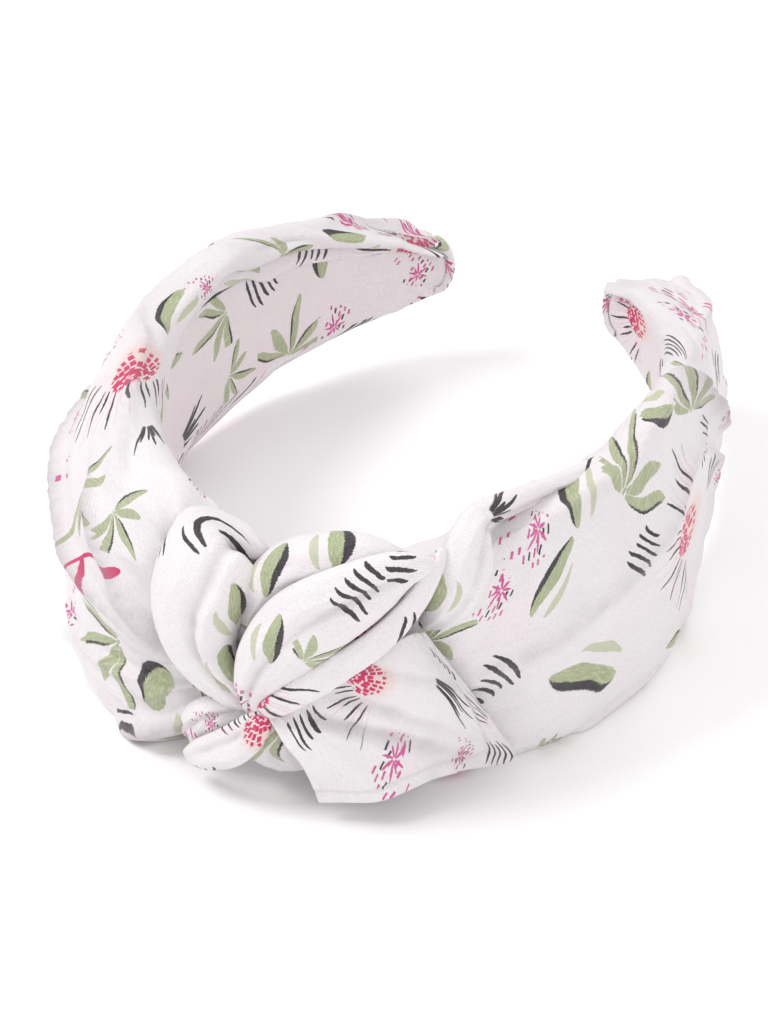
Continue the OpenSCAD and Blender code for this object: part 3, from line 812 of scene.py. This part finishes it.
def tube(node, keys, seed, ridges=(), gather=0.10, lanes=4, sharp=2.3, rows=90, cols=84):
    """A flattened roll of cloth. Each key is (turn, out, up, half the width, half the thickness).

    ridges are (place across from -1 to 1, height, width) and run along its outer face. gather is the
    depth of the creases that spread from its first end.
    """
    line = through(keys, rows)
    at = place(line[:, 0], line[:, 1], line[:, 2])
    along = np.gradient(at, axis=0)
    along /= np.linalg.norm(along, axis=1, keepdims=True)
    across = np.cross(along, outward(line[:, 0]))
    across /= np.linalg.norm(across, axis=1, keepdims=True)
    thick = np.cross(across, along)
    q = np.linspace(0, 2 * pi, cols, endpoint=False)
    c, s = np.cos(q), np.sin(q)
    round_c = np.sign(c) * np.abs(c) ** (2 / sharp)
    round_s = np.sign(s) * np.abs(s) ** (2 / sharp)
    wide = line[:, 3, None] * round_c
    deep = line[:, 4, None] * round_s
    grid = at[:, None] + across[:, None] * wide[..., None] + thick[:, None] * deep[..., None]
    length = runs(at[:, None], 0)[:, 0]
    girth = runs(np.concatenate([grid, grid[:, :1]], 1), 1)
    far = length[:, None] + 0 * wide
    share = far / length[-1]
    outer = np.clip(round_s, 0, 1) * np.clip(line[:, 3, None] / 4, 0, 1)
    rise = 0.35 * soft_noise(far, wide, seed + 5, 16) + 0.18 * soft_noise(far, 2 * wide, seed + 6, 7)
    along_it = np.sin(pi * np.clip(share, 0, 1)) ** 0.5
    for where, height, width in ridges:
        rise = rise + height * along_it * np.exp(-np.abs((round_c - where) / width) ** 1.5)
    waver = soft_noise(far, wide, seed, 34)
    crease = 0.6 - np.abs(np.sin(0.5 * pi * lanes * round_c + waver + seed))
    rise = rise + gather * line[:, 4, None] * 2 * crease * np.exp(-share / 0.3)
    grid = grid + thick[:, None] * (rise * outer)[..., None]
    # Painted shade where the ridges and gathers sink in
    obj = mesh_object(node + "_cloth", grid, np.stack([length[:, None] + 0 * girth, girth], -1), seed,
                      wrap_round=True, caps=True, painted_shade=np.clip(-rise * outer / 2, 0, 1) ** 1.4)
    smooth_cloth(obj)
    finish_piece(obj, SATIN, [node])
    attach(obj, "crown")


def patch(node, rays, seed, rows=84, cols=96):
    """A free flap of cloth. Each ray is four places, from the knot to the flap's edge."""
    corners = np.array([through([place(*key) for key in ray], rows) for ray in rays])
    grid = through(corners, cols).transpose(1, 0, 2)
    far = np.linspace(0, 1, rows)[:, None]
    side = np.linspace(0, 1, cols)[None]
    run, span = runs(grid, 0), runs(grid, 1)
    out = normals(grid)
    out = out * np.sign((out * outward(np.full(grid.shape[:2], 25.0))).sum())
    fan = 16 * side + 1.2 * soft_noise(far * 30, side * 30, seed, 40)
    lift = 0.9 * (0.6 - np.abs(np.sin(fan))) * np.exp(-far / 0.30)
    lift = lift - 1.7 * np.exp(-((side - 0.42 - 0.10 * far) / 0.07) ** 2) * np.sin(pi * far ** 0.8)
    lift = lift + 1.8 * np.exp(-((side - 0.20) / 0.08) ** 2) * far
    lift = lift - 1.2 * np.exp(-((side - 0.68 + 0.06 * far) / 0.05) ** 2) * np.sin(pi * far ** 0.7)
    lift = lift + 0.9 * np.sin(9 * side + 0.6) * far ** 3
    lift = (lift + 0.2 * soft_noise(run, span, seed + 1, 10)) * np.clip(4 * (1.03 - side), 0.2, 1)
    from_edge = np.minimum(1 - far, 0.7 * (1 - side))
    hem = np.exp(-((from_edge - 0.10) / 0.016) ** 2)
    grid = grid + out * (lift - 0.5 * hem)[..., None]
    # Painted shade in the flap's valleys and along its hem line
    obj = mesh_object(node + "_cloth", grid, np.stack([run, span], -1), seed,
                      painted_shade=np.clip(-lift / 2, 0, 1) ** 1.4 + 0.25 * hem)
    smooth_cloth(obj, SATIN_T)
    finish_piece(obj, SATIN, [node])
    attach(obj, "crown")


# The rolls' keys, as tube takes them
LEFT_LOBE = [(3, 20, -8, 1.5, 1.6), (-2, 21, -3, 5, 3.6), (-8, 21, 6, 9, 6), (-9.5, 20, 17, 11.3, 7.4),
             (-8.5, 17.5, 25, 12, 6.6), (-8, 13.5, 29.8, 11.6, 4.4), (-7.5, 8.5, 27.5, 10.5, 2.8),
             (-7, 4.5, 20, 8, 1.6)]
BACK_LOBE = [(-1, 14, 4, 3, 3), (4, 15, 17, 8, 5), (11, 15, 27, 10.5, 6), (20, 14, 31, 9, 6),
             (28, 13, 28.5, 7, 5), (35, 11, 25, 3, 2.5)]
FRONT_STRAP = [(3, 22, -8, 1.5, 1.5), (3.5, 24, 1, 4.6, 3), (7, 25, 11.5, 8, 3.8), (13, 24.5, 22.5, 9.6, 4.4),
               (21, 22.5, 29.5, 8.6, 4), (29, 19.5, 33.5, 5.8, 3), (36, 17, 33, 1.8, 1.4)]
UNDER_STRAP = [(4, 23, -6.5, 1.2, 1.0), (7.5, 26.4, -1.2, 2.8, 1.4), (13, 27.2, 5.8, 3.5, 1.4),
               (19, 26.2, 12.2, 3.6, 1.4), (26, 23.8, 18.6, 3.4, 1.4), (32, 20.8, 25.4, 2.9, 1.3),
               (36.5, 17.2, 31.5, 2.0, 1.2), (39, 14.2, 35, 1.2, 1.0)]
RIGHT_LOBE = [(35, 15, 14, 2, 1.5), (39.5, 16, 20, 5.6, 3.0), (43, 15, 27.5, 6.8, 3.6),
              (45.5, 12, 34, 5.8, 3.4), (49, 7.5, 36, 4.0, 2.8), (55, 4, 34, 3.2, 2.4),
              (64, 2.5, 32, 2.8, 2.0), (76, 2.5, 29.5, 2.2, 1.6), (90, 3.5, 26, 1.2, 1.0)]
SMALL_TAIL = [(5.5, 24, -5, 2.2, 1.4), (3.5, 26, -9.5, 4.2, 2.2), (-0.5, 27, -15.5, 5.0, 2.2),
              (-5.5, 26.5, -20.5, 4.2, 2.0), (-9.5, 25, -24.5, 2.2, 1.3)]
SMALL_TAIL_BACK = [(3, 19, -8, 2, 1.5), (-3, 20, -12, 5, 3), (-8, 20, -17, 6, 3.6), (-11, 19, -22, 4.4, 3),
                   (-12, 17, -25.5, 2, 1.5)]
KNOT_CORE = [(4, 20, -4, 2, 1.5), (6, 21.5, -9, 5, 2.5), (7, 21, -15, 8, 3), (8, 19.5, -20.5, 8.5, 2.6),
             (9, 17.5, -25, 5, 1.6)]
# The flap's rays, each of four places of (turn, out, up)
TAIL_FLAP = [
    [(6, 24.5, -5), (9.5, 27.5, -10), (13, 28, -16), (15.5, 27.5, -26)],
    [(7, 24.5, -5), (13, 27.5, -9), (18, 28, -15.5), (23, 27, -24.5)],
    [(8.5, 24.5, -4), (16, 27, -7.5), (24, 26.5, -14), (31.5, 25.5, -23.5)],
    [(10, 24, -2), (19, 26.5, -5.5), (29, 25.5, -12), (41, 23, -23.5)],
    [(12, 24, 0), (23, 26, -2), (34, 24.5, -10), (50.5, 21, -26)],
    [(16, 24, 5), (26, 25.5, 2), (36, 24.5, -4.5), (47.5, 22.5, -13)],
    [(21, 23, 10.5), (28, 24, 9), (36, 23.5, 4.5), (42, 22, 0)],
    [(27, 21.5, 15), (29, 22, 16.5), (31.5, 21.8, 18), (34, 21.5, 18)]]


def tip_cap(side):
    """The cloth's rounded end: a binding that turns over the tip from the lining to the outside."""
    word = side_word(side)
    base_turn, reach, half = 154, 4.6, core_half(154) + 0.3
    profile = through([(2.2, -0.3), (1.0, -0.75), (0.25, -0.2), (0, 1.6), (0.5, 3.8), (2.0, 6.2),
                       (4.6, 7.4)], 26)
    phi = np.radians(np.linspace(-97, 97, 60))[:, None]
    forward = (reach - profile[:, 0]) * np.cos(phi)
    up = (half - profile[:, 0]) * np.sin(phi)
    base = place(side * base_turn, profile[:, 1] + 0 * phi, up)
    grid = base + forward[..., None] * ahead(side, base_turn)
    run, span = runs(grid, 0), runs(grid, 1)
    obj = mesh_object("tip_fold_" + word + "_cloth", grid, np.stack([run, span], -1) + 40, 60)
    smooth_cloth(obj, THIN_SATIN_T)
    finish_piece(obj, SATIN, ["tip_fold_" + word])
    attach(obj, word + "_arm")


def build_knot():
    tube("knot_left_lobe", LEFT_LOBE, 1, gather=0.08,
         ridges=[(0.62, 1.8, 0.2), (0.30, -2.0, 0.14), (-0.35, 0.7, 0.4)])
    tube("knot_back_lobe", BACK_LOBE, 2,
         ridges=[(0.25, 1.2, 0.3), (-0.2, -1.4, 0.14), (0.65, -1.0, 0.14)])
    tube("knot_front_strap", FRONT_STRAP, 3, gather=0.12,
         ridges=[(-0.5, 0.9, 0.25), (-0.12, -1.3, 0.12), (0.35, 0.6, 0.3)])
    tube("knot_under_strap", UNDER_STRAP, 4, sharp=2.8, lanes=1, gather=0.05)
    tube("knot_right_lobe", RIGHT_LOBE, 5, lanes=2, ridges=[(0.3, -1.2, 0.16), (-0.4, 0.7, 0.3)])
    tube("small_tail", SMALL_TAIL, 6, ridges=[(0.3, -0.7, 0.25), (-0.3, 0.6, 0.3)])
    tube("small_tail_back", SMALL_TAIL_BACK, 7, ridges=[(0.3, -1.2, 0.2)])
    tube("knot_core", KNOT_CORE, 8, ridges=[(0.3, -0.9, 0.2), (-0.4, -0.9, 0.2)])
    patch("tail_flap", TAIL_FLAP, 9)


def dress_hidden_nodes():
    for body in ("crown", "left_arm", "right_arm"):
        dress("core_" + body, PLASTIC)
        dress("foam_tape_" + body, TAPE)
    dress("knot_stitches", THREAD)


def dress(node, material):
    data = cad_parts[node].data
    data.materials.clear()
    data.materials.append(material)


# Camera, light and floor

# The camera's direction in degrees, its distance in metres, its lens and sensor in millimetres
AZIMUTH, ELEVATION, DISTANCE, LENS, SENSOR = 23.5, 37.0, 1.10, 160, 36
AIM = Vector((-1.9, -0.6, 19.0)) * MM


def set_camera():
    data = bpy.data.cameras.new("camera")
    data.lens, data.sensor_width, data.clip_end = LENS, SENSOR, 20
    camera = bpy.data.objects.new("camera", data)
    bpy.context.scene.collection.objects.link(camera)
    a, e = radians(AZIMUTH), radians(ELEVATION)
    away = Vector((sin(a) * cos(e), -cos(a) * cos(e), sin(e)))
    camera.location = AIM + DISTANCE * away
    camera.rotation_euler = away.to_track_quat("Z", "Y").to_euler()
    bpy.context.scene.camera = camera


def area_light(name, location, size, power):
    data = bpy.data.lights.new(name, "AREA")
    data.shape, data.size, data.energy = "DISK", size, power
    light = bpy.data.objects.new(name, data)
    light.location = location
    light.rotation_euler = Vector(location).to_track_quat("Z", "Y").to_euler()
    bpy.context.scene.collection.objects.link(light)


def set_stage():
    area_light("key", (-0.75, -0.35, 1.1), 0.55, 8.0)
    area_light("fill", (0.9, -0.8, 0.8), 1.0, 4.2)
    area_light("back", (0.2, 0.9, 1.1), 1.0, 4.0)
    world = bpy.data.worlds.new("studio")
    world.use_nodes = True
    world.node_tree.nodes["Background"].inputs[0].default_value = (1, 0.985, 0.99, 1)
    world.node_tree.nodes["Background"].inputs[1].default_value = 0.72
    bpy.context.scene.world = world
    mesh = bpy.data.meshes.new("floor")
    size = 4.0
    corners = [(-size, -size, 0), (size, -size, 0), (size, size, 0), (-size, size, 0)]
    mesh.from_pydata(corners, [], [(0, 1, 2, 3)])
    floor = bpy.data.objects.new("floor", mesh)
    mesh.materials.append(plain_material("pale_floor", (0.99, 0.988, 0.99, 1), 0.9, 30, 0.00001, 0.01))
    bpy.context.scene.collection.objects.link(floor)
    bpy.context.scene.view_settings.view_transform = "Standard"


set_camera()
set_stage()
for hand in (-1, 1):
    lining(hand)
    padding(hand)
    tip_cap(hand)
gathered_cloth(-1, LEFT_SHAPE, LEFT_FOLDS, 40)
gathered_cloth(1, RIGHT_SHAPE, RIGHT_FOLDS, 50)
inner_layer(-1, LEFT_INNER, 44)
inner_layer(1, RIGHT_INNER, 45)
build_knot()
dress_hidden_nodes()
